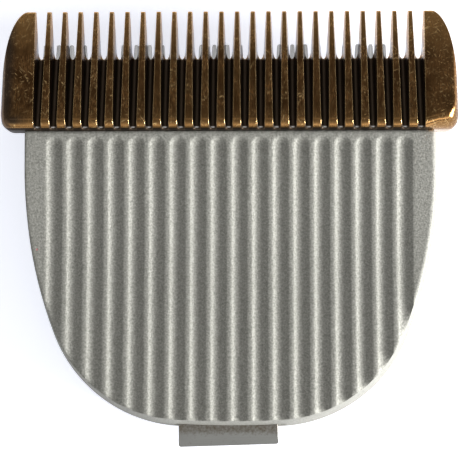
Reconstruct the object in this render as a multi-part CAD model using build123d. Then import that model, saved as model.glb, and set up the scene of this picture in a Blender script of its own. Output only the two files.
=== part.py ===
"""Detachable hair clipper blade block: a comb blade and a sliding cutter on a fluted moulded housing.

+X runs along the teeth, +Y points to the tooth tips, +Z leaves the fluted face. The rim lies on z = 0.
"""

from build123d import *
from math import cos, floor, radians, sin, sqrt, tan
import os

# Comb blade
TOOTH_PITCH = 1.6
TOOTH_COUNT = 24
EAR_WIDTH = 3.8
EAR_CORNER_WIDTH = 2.6
EAR_CORNER_DEPTH = 8.0
BLADE_LENGTH = 12.4
TIP_THICKNESS = 0.5
TIP_RADIUS = 0.25
TOP_SLOPE = 12.0
REAR_CORNER_RADIUS = 4.0
REAR_CORNER_DEPTH = 1.8
REAR_KINK_RADIUS = 1.1
BLADE_EDGE_RADIUS = 1.0
SLOT_LENGTH = 4.85
SLOT_SLOPE = 19.8
GROOVE_SLOPE = 17.0
GROOVE_FLOOR_RADIUS = 0.31
GROOVE_FLANK_ANGLE = 9.7

# Cutter
CUTTER_PITCH = 1.325
CUTTER_THICKNESS = 0.7
CUTTER_SETBACK = 3.35
CUTTER_TOOTH_LENGTH = 2.7
CUTTER_GAP_WIDTH = 0.9
CUTTER_GULLET_WIDTH = 0.6
CUTTER_END_MARGIN = 0.25
CUTTER_TRAVEL = 1.5
CUTTER_REST = -0.2

# Housing
SLIDE_HEIGHT = 6.0
LEDGE_DEPTH = 2.9
LEDGE_THICKNESS = 1.6
SHOULDER_THICKNESS = 1.45
CHEEK_LENGTH = 7.0
CHEEK_SETBACK = 1.4
CHEEK_THICKNESS = 1.7
CHEEK_NOSE_RADIUS = 0.6
LAND_RISE = 1.9
LAND_FRONT_SLOPE = 3.3
LAND_REAR_SLOPE = 4.2
LAND_BREAK = 10.9
LAND_BLEND_RADIUS = 60.0
PLATE_THICKNESS = 1.3
WALL_THICKNESS = 1.3
WALL_DRAFT = 9.0
HOUSING_LENGTH = 30.3
SIDE_CURVE_START = 3.5
SIDE_RADIUS = 47.0
CORNER_RADIUS = 15.0
END_RADIUS = 95.0
FLUTE_PITCH = 2.07
FLUTE_COUNT = 18
FLUTE_WIDTH = 1.56
FLUTE_DEPTH = 0.3
FLUTE_SETBACK = 1.43
CATCH_LENGTH = 5.0
CATCH_HEIGHT = 1.5
CATCH_DEPTH = 0.6
CATCH_LEVEL = 1.6

# Drive yoke
YOKE_LENGTH = 26.0
YOKE_BAR_DEPTH = 2.4
YOKE_BAR_STEP = 0.8
YOKE_EDGE_RADIUS = 0.4
FORK_WIDTH = 9.2
FORK_HEIGHT = 2.8
DRIVE_SLOT_WIDTH = 4.0
DRIVE_SLOT_FRONT_WALL = 0.9
LUG_LENGTH = 1.6
LUG_HEIGHT = 1.5
PEG_DIAMETER = 1.6
PEG_SPACING = 20.0

# Pressure spring
SPRING_THICKNESS = 0.3
SPRING_DROP = 0.1
SPRING_BASE_DEPTH = 3.6
SPRING_END_MARGIN = 2.3
SPRING_ARM_WIDTH = 3.2
SPRING_ARM_SPACING = 19.2
SPRING_PAD_LENGTH = 1.2
SPRING_CURL_LENGTH = 0.9
SPRING_CURL_DROP = 0.5
SPRING_BOSS_SPACING = 22.0
SPRING_BOSS_SETBACK = 6.0

# Mounting hook
HOOK_REACH = 1.75
HOOK_WIDTH = 10.3
HOOK_ROOT_WIDTH = 10.0
HOOK_THICKNESS = 0.8
HOOK_HEIGHT = 2.0
HOOK_BODY_WIDTH = 13.0
HOOK_BODY_FRONT = 2.8
HOOK_SCREW_SETBACK = 6.6
HOOK_SKEW = 1.9
HOOK_OFFSET = -0.4
HOOK_CORNER_RADIUS = 0.25

# Screws and bosses
SCREW_DIAMETER = 2.0
SCREW_HEAD_DIAMETER = 3.6
SCREW_HEAD_HEIGHT = 1.1
SCREW_HEAD_EDGE = 0.35
SCREW_RECESS_WIDTH = 0.5
SCREW_RECESS_LENGTH = 2.0
SCREW_RECESS_DEPTH = 0.6
BLADE_SCREW_INSET = 1.4
BLADE_SCREW_TOOTH_COUNT = 10
BLADE_SCREW_BITE = 1.1
BOSS_DIAMETER = 4.6
BOSS_SCREW_BITE = 2.8

# Clearances
SEAT_CLEARANCE = 0.05
GUIDE_CLEARANCE = 0.15
END_CLEARANCE = 0.05
RUN_CLEARANCE = 0.4
HOLE_CLEARANCE = 0.3
THREAD_CLEARANCE = 0.04
PEG_CLEARANCE = 0.1
HOLE_END_CLEARANCE = 0.2
HOOK_SLOT_SIDE = 0.5
HOOK_SLOT_GAP = 0.15
OVERLAP = 1.0

# Places worked out from the sizes
OVERALL_LENGTH = BLADE_LENGTH + HOUSING_LENGTH + HOOK_REACH
TIP_Y = OVERALL_LENGTH / 2
BLADE_REAR_Y = TIP_Y - BLADE_LENGTH
HOUSING_REAR_Y = BLADE_REAR_Y - HOUSING_LENGTH
SHOULDER_Y = BLADE_REAR_Y - SEAT_CLEARANCE
LEDGE_FRONT_Y = SHOULDER_Y + LEDGE_DEPTH
LEDGE_REAR_Y = SHOULDER_Y - SHOULDER_THICKNESS
LEDGE_BOTTOM = SLIDE_HEIGHT - LEDGE_THICKNESS
LAND_Z = SLIDE_HEIGHT + LAND_RISE
ROW_HALF = TOOTH_COUNT * TOOTH_PITCH / 2
BLADE_HALF = ROW_HALF + EAR_WIDTH
CUTTER_HALF = ROW_HALF - CUTTER_END_MARGIN
CHEEK_INNER = CUTTER_HALF + CUTTER_TRAVEL + END_CLEARANCE
CHEEK_OUTER = CHEEK_INNER + CHEEK_THICKNESS
RIM_HALF = CHEEK_INNER + WALL_THICKNESS
CUTTER_REAR_Y = LEDGE_FRONT_Y + GUIDE_CLEARANCE
CUTTER_BOTTOM = SLIDE_HEIGHT - CUTTER_THICKNESS
FORK_TOP = LEDGE_BOTTOM - RUN_CLEARANCE
FORK_BOTTOM = FORK_TOP - FORK_HEIGHT
PAD_Z = FORK_TOP - YOKE_BAR_STEP
PAD_Y = CUTTER_REAR_Y + YOKE_BAR_DEPTH / 2
SPRING_TOP = PAD_Z - SPRING_DROP
SPRING_BOSS_Y = LEDGE_REAR_Y - SPRING_BOSS_SETBACK
HOOK_TOP = HOOK_HEIGHT + HOOK_THICKNESS
HOOK_Y = HOUSING_REAR_Y + HOOK_SCREW_SETBACK
BLADE_SCREW_X = (BLADE_SCREW_TOOTH_COUNT + 0.5) * TOOTH_PITCH
BLADE_SCREW_Y = BLADE_REAR_Y + BLADE_SCREW_INSET
BLADE_BORE_DEPTH = BLADE_SCREW_BITE + HOLE_END_CLEARANCE
FAR_Y = HOUSING_REAR_Y - OVERLAP
TALL = LAND_Z + 2 * LAND_RISE


def box_between(low, high):
    """A box from its lowest corner to its highest."""
    size = [b - a for a, b in zip(low, high)]
    middle = [(a + b) / 2 for a, b in zip(low, high)]
    return Pos(*middle) * Box(*size)


def rod(x, y, bottom, top, diameter):
    """An upright cylinder between two heights."""
    return Pos(x, y, (bottom + top) / 2) * Cylinder(diameter / 2, top - bottom)


def across(profile, half_width):
    """A side profile drawn in Y and Z, run to both sides along X."""
    return extrude(Plane.YZ * profile, amount=half_width, both=True)


def comb_outline(ears):
    """The comb blade's plan outline, with its curved ears or with straight sides."""
    tip_x = BLADE_HALF - EAR_CORNER_WIDTH if ears else BLADE_HALF
    ear_y = TIP_Y - EAR_CORNER_DEPTH
    corner_y = BLADE_REAR_Y + REAR_CORNER_DEPTH
    corner_fall = REAR_CORNER_RADIUS - sqrt(REAR_CORNER_RADIUS**2 - REAR_CORNER_DEPTH**2)
    rear_x = BLADE_HALF - corner_fall
    right = [
        Line((BLADE_HALF, ear_y), (BLADE_HALF, corner_y)),
        RadiusArc((BLADE_HALF, corner_y), (rear_x, BLADE_REAR_Y), REAR_CORNER_RADIUS),
    ]
    if ears:
        middle = (tip_x, ear_y)
        right.append(
            EllipticalCenterArc(middle, EAR_CORNER_WIDTH, EAR_CORNER_DEPTH, start_angle=0, arc_size=90)
        )
    else:
        right.append(Line((BLADE_HALF, ear_y), (BLADE_HALF, TIP_Y)))
    left = [mirror(edge, about=Plane.YZ) for edge in right]
    tips = Line((-tip_x, TIP_Y), (tip_x, TIP_Y))
    rear = Line((-rear_x, BLADE_REAR_Y), (rear_x, BLADE_REAR_Y))
    face = make_face([tips, rear, *right, *left])
    return fillet(face.vertices().group_by(Axis.Y)[0], REAR_KINK_RADIUS)


def comb_profile():
    """The comb blade's wedge seen from the side, run on below the sliding face."""
    rear_z = SLIDE_HEIGHT + TIP_THICKNESS + BLADE_LENGTH * tan(radians(TOP_SLOPE))
    face = make_face(
        Polyline(
            (TIP_Y, 0),
            (TIP_Y, SLIDE_HEIGHT + TIP_THICKNESS),
            (BLADE_REAR_Y, rear_z),
            (BLADE_REAR_Y, 0),
            close=True,
        )
    )
    tip = face.vertices().group_by(Axis.X)[-1].sort_by(Axis.Y)[-1]
    return fillet(tip, TIP_RADIUS)


def comb_groove(angle):
    """The tool that grinds one gap: a drafted groove with a round floor on a slope."""
    slope = radians(angle)
    flank = radians(GROOVE_FLANK_ANGLE)
    along = Vector(0, -cos(slope), sin(slope))
    before = (SLOT_LENGTH + OVERLAP) / cos(slope)
    after = (BLADE_LENGTH - SLOT_LENGTH + OVERLAP) / cos(slope)
    start = Vector(0, TIP_Y - SLOT_LENGTH, SLIDE_HEIGHT) - along * before
    height = BLADE_LENGTH * (tan(radians(TOP_SLOPE)) + tan(slope))
    side_x = GROOVE_FLOOR_RADIUS * cos(flank)
    side_z = GROOVE_FLOOR_RADIUS * (1 - sin(flank))
    top_x = side_x + (height - side_z) * tan(flank)
    section = make_face(
        [
            ThreePointArc((-side_x, side_z), (0, 0), (side_x, side_z)),
            Polyline((side_x, side_z), (top_x, height), (-top_x, height), (-side_x, side_z)),
        ]
    )
    plane = Plane(origin=start, x_dir=(1, 0, 0), z_dir=along)
    return extrude(plane * section, amount=before + after)


def make_fixed_blade():
    """The comb blade: a wedge with ears, ground gaps and two tapped holes underneath."""
    cushion = extrude(comb_outline(ears=False), amount=TALL) & across(comb_profile(), BLADE_HALF)
    top = cushion.faces().sort_by(Axis.Z)[-1]
    cushion = fillet(top.edges().sort_by(Axis.Y)[:-1], BLADE_EDGE_RADIUS)
    ears = Pos(0, 0, SLIDE_HEIGHT) * extrude(comb_outline(ears=True), amount=TALL)
    blade = cushion & ears
    groove = comb_groove(SLOT_SLOPE) + comb_groove(GROOVE_SLOPE)
    gaps = [Pos((i - TOOTH_COUNT / 2) * TOOTH_PITCH, 0, 0) * groove for i in range(TOOTH_COUNT + 1)]
    bores = [
        rod(x, BLADE_SCREW_Y, SLIDE_HEIGHT - OVERLAP, SLIDE_HEIGHT + BLADE_BORE_DEPTH, SCREW_DIAMETER)
        for x in (-BLADE_SCREW_X, BLADE_SCREW_X)
    ]
    return blade - gaps - bores


def make_moving_blade():
    """The cutter: a flat plate with finer round-tipped teeth and two holes for the yoke's pegs."""
    tip_y = TIP_Y - CUTTER_SETBACK
    root_y = tip_y - CUTTER_TOOTH_LENGTH
    tip_half = (CUTTER_PITCH - CUTTER_GAP_WIDTH) / 2
    root_half = (CUTTER_PITCH - CUTTER_GULLET_WIDTH) / 2
    tooth = make_face(
        [
            ThreePointArc((-tip_half, tip_y - tip_half), (0, tip_y), (tip_half, tip_y - tip_half)),
            Polyline(
                (tip_half, tip_y - tip_half),
                (root_half, root_y),
                (-root_half, root_y),
                (-tip_half, tip_y - tip_half),
            ),
        ]
    )
    side_count = floor((CUTTER_HALF - root_half) / CUTTER_PITCH)
    plate = Pos(0, (root_y + CUTTER_REAR_Y) / 2) * Rectangle(2 * CUTTER_HALF, root_y - CUTTER_REAR_Y)
    plate = plate + [Pos(i * CUTTER_PITCH, 0) * tooth for i in range(-side_count, side_count + 1)]
    holes = [
        Pos(x, PAD_Y) * Circle((PEG_DIAMETER + PEG_CLEARANCE) / 2)
        for x in (-PEG_SPACING / 2, PEG_SPACING / 2)
    ]
    return Pos(CUTTER_REST, 0, CUTTER_BOTTOM) * extrude(plate - holes, amount=CUTTER_THICKNESS)


def make_drive_yoke():
    """The carrier under the cutter: a bar with pegs and a fork that straddles the guide ledge."""
    lug_front = LEDGE_REAR_Y - GUIDE_CLEARANCE
    fork_rear = lug_front - LUG_LENGTH
    bar_front = CUTTER_REAR_Y + YOKE_BAR_DEPTH
    slot_front = CUTTER_REAR_Y - DRIVE_SLOT_FRONT_WALL
    bar = box_between(
        (-YOKE_LENGTH / 2, CUTTER_REAR_Y, PAD_Z), (YOKE_LENGTH / 2, bar_front, CUTTER_BOTTOM)
    )
    bar = fillet(bar.edges().filter_by(Axis.Z), YOKE_EDGE_RADIUS)
    fork = box_between((-FORK_WIDTH / 2, fork_rear, FORK_BOTTOM), (FORK_WIDTH / 2, bar_front, FORK_TOP))
    fork = fillet(fork.edges().filter_by(Axis.Z), YOKE_EDGE_RADIUS)
    lugs = box_between(
        (-FORK_WIDTH / 2 + YOKE_EDGE_RADIUS, fork_rear + YOKE_EDGE_RADIUS, FORK_BOTTOM),
        (FORK_WIDTH / 2 - YOKE_EDGE_RADIUS, lug_front, FORK_TOP + LUG_HEIGHT),
    )
    slot = box_between(
        (-DRIVE_SLOT_WIDTH / 2, fork_rear - OVERLAP, FORK_BOTTOM - OVERLAP),
        (DRIVE_SLOT_WIDTH / 2, slot_front, TALL),
    )
    pegs = [
        rod(x, PAD_Y, PAD_Z, SLIDE_HEIGHT - PEG_CLEARANCE, PEG_DIAMETER)
        for x in (-PEG_SPACING / 2, PEG_SPACING / 2)
    ]
    return Pos(CUTTER_REST, 0, 0) * ((bar + fork + lugs - slot) + pegs)


def make_pressure_spring():
    """A sheet spring on two bosses, with two arms that press on the yoke's bar."""
    base_front = SPRING_BOSS_Y + SPRING_BASE_DEPTH / 2
    base_half = SPRING_BOSS_SPACING / 2 + SPRING_END_MARGIN
    base = box_between(
        (-base_half, SPRING_BOSS_Y - SPRING_BASE_DEPTH / 2, SPRING_TOP - SPRING_THICKNESS),
        (base_half, base_front, SPRING_TOP),
    )
    base = fillet(base.edges().filter_by(Axis.Z), SPRING_BASE_DEPTH / 3)
    pad_front = PAD_Y + SPRING_PAD_LENGTH / 2
    pad_rear = PAD_Y - SPRING_PAD_LENGTH / 2
    top = [
        (SPRING_BOSS_Y, SPRING_TOP),
        (base_front, SPRING_TOP),
        (pad_rear, PAD_Z),
        (pad_front, PAD_Z),
        (pad_front + SPRING_CURL_LENGTH, PAD_Z - SPRING_CURL_DROP),
    ]
    under = [(y, z - SPRING_THICKNESS) for y, z in reversed(top)]
    arm = across(make_face(Polyline(*top, *under, close=True)), SPRING_ARM_WIDTH / 2)
    arms = [Pos(x, 0, 0) * arm for x in (-SPRING_ARM_SPACING / 2, SPRING_ARM_SPACING / 2)]
    holes = [
        rod(x, SPRING_BOSS_Y, 0, TALL, SCREW_DIAMETER + HOLE_CLEARANCE)
        for x in (-SPRING_BOSS_SPACING / 2, SPRING_BOSS_SPACING / 2)
    ]
    return base + arms - holes


def land_path(front_y, drop):
    """The plate's dished face seen from the side, from a front place to past the rear wall."""
    front_rise = tan(radians(LAND_FRONT_SLOPE))
    rear_rise = tan(radians(LAND_REAR_SLOPE))
    break_y = SHOULDER_Y - LAND_BREAK
    break_z = LAND_Z - drop - LAND_BREAK * front_rise
    front = (front_y, break_z + (front_y - break_y) * front_rise)
    rear = (FAR_Y, break_z + (break_y - FAR_Y) * rear_rise)
    return FilletPolyline(front, (break_y, break_z), rear, radius=LAND_BLEND_RADIUS)


def rim_outline(inset):
    """The housing's plan outline at the rim: straight front, then side, corner and end arcs."""
    side_y = BLADE_REAR_Y - SIDE_CURVE_START
    front_y = LEDGE_FRONT_Y + 3 * OVERLAP
    side = Vector(RIM_HALF - SIDE_RADIUS, side_y)
    end = Vector(0, HOUSING_REAR_Y + END_RADIUS)
    to_side = SIDE_RADIUS - CORNER_RADIUS
    to_end = END_RADIUS - CORNER_RADIUS
    apart = (end - side).length
    toward = (end - side) / apart
    along = (to_side**2 - to_end**2 + apart**2) / (2 * apart)
    off = sqrt(to_side**2 - along**2)
    corner = side + toward * along + Vector(toward.Y, -toward.X) * off
    first = Vector(RIM_HALF - inset, side_y)
    second = side + (corner - side).normalized() * (SIDE_RADIUS - inset)
    third = end + (corner - end).normalized() * (END_RADIUS - inset)
    right = [
        Line((RIM_HALF - inset, front_y), first),
        RadiusArc(first, second, SIDE_RADIUS - inset),
        RadiusArc(second, third, CORNER_RADIUS - inset),
    ]
    left = [mirror(edge, about=Plane.YZ) for edge in right]
    front = Line((RIM_HALF - inset, front_y), (inset - RIM_HALF, front_y))
    rear = ThreePointArc(third, (0, HOUSING_REAR_Y + inset), (-third.X, third.Y))
    return make_face([front, rear, *right, *left])


def drafted(inset, bottom):
    """The outline run upward with the walls' draft, from the rim plane or a little below it."""
    widen = bottom * tan(radians(WALL_DRAFT))
    return Pos(0, 0, bottom) * extrude(rim_outline(inset + widen), amount=TALL, taper=WALL_DRAFT)


def flute_tools():
    """The ball-nosed tools that sink the grip flutes along the dished face."""
    half = FLUTE_WIDTH / 2
    radius = (half**2 + FLUTE_DEPTH**2) / (2 * FLUTE_DEPTH)
    path = Plane.YZ * land_path(BLADE_REAR_Y - FLUTE_SETBACK, FLUTE_DEPTH - radius)
    section = Plane(origin=path @ 0, x_dir=(1, 0, 0), z_dir=path % 0) * Circle(radius)
    tool = sweep(section, path=path) + Pos(*(path @ 0)) * Sphere(radius)
    middle = (FLUTE_COUNT - 1) / 2
    return [Pos((i - middle) * FLUTE_PITCH, 0, 0) * tool for i in range(FLUTE_COUNT)]


def make_housing():
    """The moulded body: fluted plate, drafted skirt, blade seat, cheeks, bosses and the hook's slot."""
    side = make_face(
        [
            land_path(SHOULDER_Y, 0),
            Polyline(
                land_path(SHOULDER_Y, 0) @ 1,
                (FAR_Y, 0),
                (LEDGE_FRONT_Y, 0),
                (LEDGE_FRONT_Y, SLIDE_HEIGHT),
                (SHOULDER_Y, SLIDE_HEIGHT),
                land_path(SHOULDER_Y, 0) @ 0,
            ),
        ]
    )
    block = across(side, RIM_HALF + OVERLAP)
    body = block & drafted(0, 0)
    ceiling = land_path(LEDGE_REAR_Y, PLATE_THICKNESS)
    hollow = make_face(
        [
            ceiling,
            Polyline(
                ceiling @ 1,
                (FAR_Y, -OVERLAP),
                (TIP_Y, -OVERLAP),
                (TIP_Y, LEDGE_BOTTOM),
                (LEDGE_REAR_Y, LEDGE_BOTTOM),
                ceiling @ 0,
            ),
        ]
    )
    body = body - (across(hollow, RIM_HALF) & drafted(WALL_THICKNESS, -OVERLAP))
    cheek = box_between(
        (CHEEK_INNER, SHOULDER_Y + CHEEK_SETBACK, 0),
        (CHEEK_OUTER, SHOULDER_Y + CHEEK_LENGTH, SLIDE_HEIGHT),
    )
    nose = cheek.edges().filter_by(Axis.Z).group_by(Axis.Y)[-1]
    cheek = fillet(nose, CHEEK_NOSE_RADIUS)
    body = body + [cheek, mirror(cheek, about=Plane.YZ)]
    spring_x = SPRING_BOSS_SPACING / 2
    seats = [(-spring_x, SPRING_BOSS_Y, SPRING_TOP), (spring_x, SPRING_BOSS_Y, SPRING_TOP)]
    seats.append((0, HOOK_Y, HOOK_TOP))
    body = body + [block & rod(x, y, z, TALL, BOSS_DIAMETER) for x, y, z in seats]
    bite = BOSS_SCREW_BITE + HOLE_END_CLEARANCE
    body = body - [rod(x, y, z - OVERLAP, z + bite, SCREW_DIAMETER) for x, y, z in seats]
    body = body - [
        rod(x, BLADE_SCREW_Y, 0, SLIDE_HEIGHT + OVERLAP, SCREW_DIAMETER + HOLE_CLEARANCE)
        for x in (-BLADE_SCREW_X, BLADE_SCREW_X)
    ]
    slot_half = HOOK_WIDTH / 2 + HOOK_SLOT_SIDE
    slot = box_between(
        (-slot_half, FAR_Y, HOOK_HEIGHT - HOOK_SLOT_GAP),
        (slot_half, HOUSING_REAR_Y + 3 * WALL_THICKNESS, HOOK_TOP + HOOK_SLOT_GAP),
    )
    catch_top = CATCH_LEVEL + CATCH_HEIGHT
    catch_x = CHEEK_INNER - catch_top * tan(radians(WALL_DRAFT)) + CATCH_DEPTH
    catch_y = BLADE_REAR_Y - SIDE_CURVE_START
    catch = box_between(
        (-catch_x, catch_y - CATCH_LENGTH / 2, CATCH_LEVEL),
        (catch_x, catch_y + CATCH_LENGTH / 2, catch_top),
    )
    return body - [slot, catch, *flute_tools()]


def make_mounting_hook():
    """The stamped hook: a plate on its boss with a tongue out through the rear wall, a little askew."""
    skew = radians(HOOK_SKEW)
    reach = HOOK_SCREW_SETBACK + HOOK_REACH
    tongue_end = -(reach - HOOK_WIDTH / 2 * sin(skew)) / cos(skew)
    body_rear = 2.5 * WALL_THICKNESS - HOOK_SCREW_SETBACK
    half_body = HOOK_BODY_WIDTH / 2
    half_root = HOOK_ROOT_WIDTH / 2
    half_end = HOOK_WIDTH / 2
    plate = make_face(
        Polyline(
            (-half_body, HOOK_BODY_FRONT),
            (half_body, HOOK_BODY_FRONT),
            (half_body, body_rear),
            (half_root, body_rear),
            (half_end, tongue_end),
            (-half_end, tongue_end),
            (-half_root, body_rear),
            (-half_body, body_rear),
            close=True,
        )
    )
    plate = fillet(plate.vertices().group_by(Axis.Y)[0], HOOK_CORNER_RADIUS)
    hole = Circle((SCREW_DIAMETER + HOLE_CLEARANCE) / 2)
    hook = extrude(Pos(HOOK_OFFSET, 0) * plate - hole, amount=HOOK_THICKNESS)
    return Pos(0, HOOK_Y, HOOK_HEIGHT) * Rot(0, 0, HOOK_SKEW) * hook


def screw(x, y, seat, bite, grip):
    """A pan-head screw from below: head under the seat, shank up through the grip into the bite."""
    head = rod(x, y, seat - SCREW_HEAD_HEIGHT, seat, SCREW_HEAD_DIAMETER)
    head = chamfer(head.edges().group_by(Axis.Z)[0], SCREW_HEAD_EDGE)
    shank = rod(x, y, seat - SCREW_HEAD_EDGE, seat + grip + bite, SCREW_DIAMETER - THREAD_CLEARANCE)
    cross = [
        Pos(x, y, seat - SCREW_HEAD_HEIGHT) * Box(a, b, 2 * SCREW_RECESS_DEPTH)
        for a, b in (
            (SCREW_RECESS_LENGTH, SCREW_RECESS_WIDTH),
            (SCREW_RECESS_WIDTH, SCREW_RECESS_LENGTH),
        )
    ]
    return head + shank - cross


def make_blade_screws():
    """Two screws from below through the ledge into the comb blade."""
    return Compound(
        children=[
            screw(x, BLADE_SCREW_Y, LEDGE_BOTTOM, BLADE_SCREW_BITE, LEDGE_THICKNESS)
            for x in (-BLADE_SCREW_X, BLADE_SCREW_X)
        ]
    )


def make_boss_screws():
    """Two screws for the spring and one for the hook, into the housing's bosses."""
    spring_x = SPRING_BOSS_SPACING / 2
    spring_seat = SPRING_TOP - SPRING_THICKNESS
    return Compound(
        children=[
            screw(-spring_x, SPRING_BOSS_Y, spring_seat, BOSS_SCREW_BITE, SPRING_THICKNESS),
            screw(spring_x, SPRING_BOSS_Y, spring_seat, BOSS_SCREW_BITE, SPRING_THICKNESS),
            screw(0, HOOK_Y, HOOK_HEIGHT, BOSS_SCREW_BITE, HOOK_THICKNESS),
        ]
    )


os.makedirs("parts", exist_ok=True)
export_step(make_housing(), "parts/housing.step")
export_step(make_fixed_blade(), "parts/fixed_blade.step")
export_step(make_moving_blade(), "parts/moving_blade.step")
export_step(make_drive_yoke(), "parts/drive_yoke.step")
export_step(make_pressure_spring(), "parts/pressure_spring.step")
export_step(make_mounting_hook(), "parts/mounting_hook.step")
export_step(make_blade_screws(), "parts/blade_screws.step")
export_step(make_boss_screws(), "parts/boss_screws.step")
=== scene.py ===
"""Finishes, screws and studio for a detachable hair clipper blade."""

from math import radians, tan

import bpy
from bpy.props import FloatProperty, FloatVectorProperty, IntProperty, PointerProperty
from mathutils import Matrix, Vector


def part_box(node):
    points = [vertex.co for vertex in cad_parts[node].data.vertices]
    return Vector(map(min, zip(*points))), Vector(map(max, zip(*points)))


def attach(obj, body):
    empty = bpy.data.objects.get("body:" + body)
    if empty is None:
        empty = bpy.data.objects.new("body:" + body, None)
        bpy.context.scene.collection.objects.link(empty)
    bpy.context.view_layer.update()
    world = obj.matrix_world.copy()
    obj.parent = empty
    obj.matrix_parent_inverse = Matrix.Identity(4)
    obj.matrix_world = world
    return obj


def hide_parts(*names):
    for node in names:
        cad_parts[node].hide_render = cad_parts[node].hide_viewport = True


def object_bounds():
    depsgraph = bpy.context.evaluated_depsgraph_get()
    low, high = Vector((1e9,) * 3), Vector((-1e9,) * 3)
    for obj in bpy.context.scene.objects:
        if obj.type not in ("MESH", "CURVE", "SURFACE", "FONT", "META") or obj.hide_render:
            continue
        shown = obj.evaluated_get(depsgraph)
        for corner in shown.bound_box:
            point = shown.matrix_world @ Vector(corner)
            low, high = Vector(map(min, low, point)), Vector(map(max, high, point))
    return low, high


bl_info = {
    "name": "Clipper blade finishes",
    "version": (1, 0, 0),
    "blender": (4, 5, 0),
    "location": "3D View > Sidebar > Clipper Blade",
    "description": "Finishes, screws and studio for a detachable hair clipper blade",
    "category": "Object",
}

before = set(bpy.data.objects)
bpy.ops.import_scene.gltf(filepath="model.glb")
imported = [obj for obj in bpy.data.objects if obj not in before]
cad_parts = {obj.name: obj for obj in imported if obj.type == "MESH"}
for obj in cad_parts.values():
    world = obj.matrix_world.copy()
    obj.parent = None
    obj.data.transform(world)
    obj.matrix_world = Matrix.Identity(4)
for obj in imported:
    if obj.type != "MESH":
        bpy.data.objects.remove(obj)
CAD_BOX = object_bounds()

# Where the comb's masks fade, in metres
ROW_EDGE = 0.00005
GROOVE_DEPTHS = (0.00008, 0.0003)
FOOT_EDGE = (0.00025, 0.00019)
FOOT_RUNOUT = 0.0006
TAIL_REACH = (0.0022, 0.0003)
LEFT_SHADE_REACH = (0.0016, 0.0008)
EAR_REACH = (-0.0003, -0.0018)
ROUNDING_FOOT = (0.00045, 0.0007)
ROUNDING_HEAD = (0.0018, 0.0011)
EXIT_BREADTH = (0.00026, 0.00016)
EXIT_FRONT = (0.0004, 0.00034)
EXIT_REAR = (0.0002, 0.00026)
RIGHT_EAR_REACH = 0.0012

# Where the comb's masks fade, as shares of a groove's width or a slot's length
GROOVE_CORE = 0.85
GROOVE_START = (0.97, 1.01)
FLANK_END = (0.96, 0.84)

# The right ear's worn corner, as shares of its inset
CORNER_SIDE = 0.65
CORNER_ARC = 0.6
CORNER_FADE = (0.85, 0.5)

# How strongly each kind of wear, painted sheen and painted shade shows on the comb
TIP_SHEEN = 0.6
TAIL_SHEEN = 0.48
EDGE_RUB = 0.8
RIGHT_SHEEN_AND_WEAR = 0.7
RIGHT_SHEEN_TONE = 0.48
LEFT_SHADE_SHARE = 0.85
PATCHY_RANGE = (0.35, 0.75)
PATCHY_LEAST = 0.22

# Shades of noise that the shared patterns keep
WEAR_RANGE = (0.995, 0.8)
STREAK_RANGE = (0.3, 0.7)
MOTTLE_RANGE = (0.3, 0.7)
GRAIN_RANGE = (0.25, 0.75)
FLECK_SCALE = 0.63
FLECK_FULL = 0.8
SCRATCH_ANGLES = (0.35, 1.2, 2.4)
SCRATCH_STRETCH = (7000.0, 1100.0, 1100.0)
SCRATCH_FULL = 0.78

# How roughness and colour vary on each finish
COMB_GLOSS = (-0.04, 0.1)
# Roughness where shade is painted in the grooves and along the rear foot
SHADE_ROUGHNESS = 0.5
SILVER_GLOSS = (-0.05, 0.05)
SPECK_CORE = 0.5
SPECK_DEPTHS = (-0.001, -0.0008)
STEEL_GLOSS = (0.06, -0.04)
STEEL_PALE = 1.25
# Painted shade at the hook's root, under the housing's rear wall
ROOT_SHADE_RANGE = (0.7, 1.9)
ROOT_SHADE_DEPTH = 0.0007
CARRIER_PALE = 2.2
CARRIER_RUB = 0.7
CARRIER_GLOSS = (0.38, 0.5)

# Depth in metres and strength of the fine relief on each finish
COMB_RELIEF = (0.00001, 0.5)
SILVER_RELIEF = (0.000035, 0.6)
STEEL_RELIEF = (0.00001, 0.4)
CARRIER_RELIEF = (0.00002, 0.3)

# Shares of the streaks and the grain in the relief
COMB_STREAK_HEIGHT = 0.6
STEEL_GRAIN_HEIGHT = 0.4

# How far a screw may be turned, and the angle from which its edges are sharp
SCREW_TURN = 1.5
SHARP_ANGLE = radians(34.0)

# Floor, in metres
FLOOR_HALF = 6.0
FLOOR_GAP = 0.00005

# Directions between which the sky's levels fade
NEAR_FADE = (-0.8, 0.4)
FAR_FADE = (0.53, 0.75)
FAR_RISE = (0.35, 0.6)
FAR_LOW = 0.8
SIDE_FADE = (-0.7, 0.95)
TOP_FADE = (0.35, 0.95)
REAR_FADE = (-0.45, -0.8)
REAR_RISE = (0.45, 0.15)
WINDOW_EDGE = 0.15
WINDOW_FOOT = (0.36, 0.42)
WINDOW_HEAD = (0.62, 0.56)
PANEL_REAR = (0.05, 0.12)
PANEL_FRONT = (0.34, 0.27)
PANEL_SIDES = (0.35, 0.25)


def colour(name, description, default):
    """A colour that a user may change."""
    return FloatVectorProperty(
        name=name,
        description=description,
        default=default,
        size=4,
        min=0.0,
        max=1.0,
        subtype="COLOR",
    )


def length(name, description, default):
    """A length in metres that a user may change."""
    return FloatProperty(
        name=name,
        description=description,
        default=default,
        min=0.0,
        precision=5,
        subtype="DISTANCE",
        unit="LENGTH",
    )


def share(name, description, default):
    """A share from nought to one that a user may change."""
    return FloatProperty(
        name=name,
        description=description,
        default=default,
        min=0.0,
        max=1.0,
        subtype="FACTOR",
    )


def strength(name, description, default):
    """A strength of light that a user may change."""
    return FloatProperty(name=name, description=description, default=default, min=0.0)


def slant(name, description, default):
    """An angle that a user may change."""
    return FloatProperty(
        name=name,
        description=description,
        default=default,
        subtype="ANGLE",
        unit="ROTATION",
    )


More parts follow.
